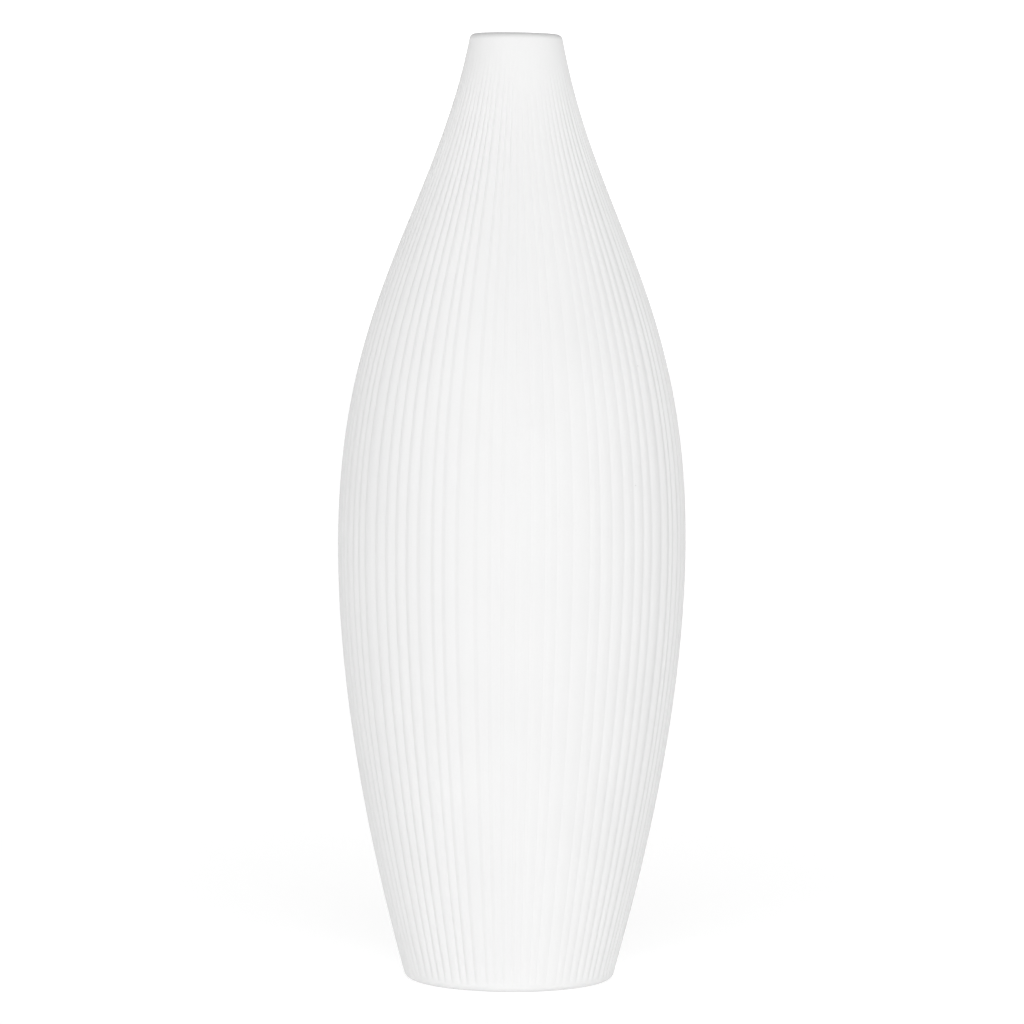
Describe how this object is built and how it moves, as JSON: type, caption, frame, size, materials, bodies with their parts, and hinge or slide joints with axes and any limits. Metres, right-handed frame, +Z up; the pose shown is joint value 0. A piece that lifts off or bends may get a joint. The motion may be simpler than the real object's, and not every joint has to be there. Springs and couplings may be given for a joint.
{
  "type": "bud vase",
  "caption": "Slender ribbed bisque-porcelain bud vase with a swelling belly, a narrow rounded mouth and a recessed foot, for a few flower stems.",
  "frame": {"origin": "centre of the foot, on the surface that the vase stands on", "axes": "+Z up along the vase's axis, towards the mouth; -Y towards the side that faces the viewer"},
  "size_m": [0.0918, 0.0918, 0.25],
  "materials": {
    "bisque_porcelain": "matte",
    "interior_glaze": "gloss"
  },
  "bodies": {
    "root": {"vase_body": "bisque_porcelain", "interior_glaze": "interior_glaze"}
  },
  "joints": []
}
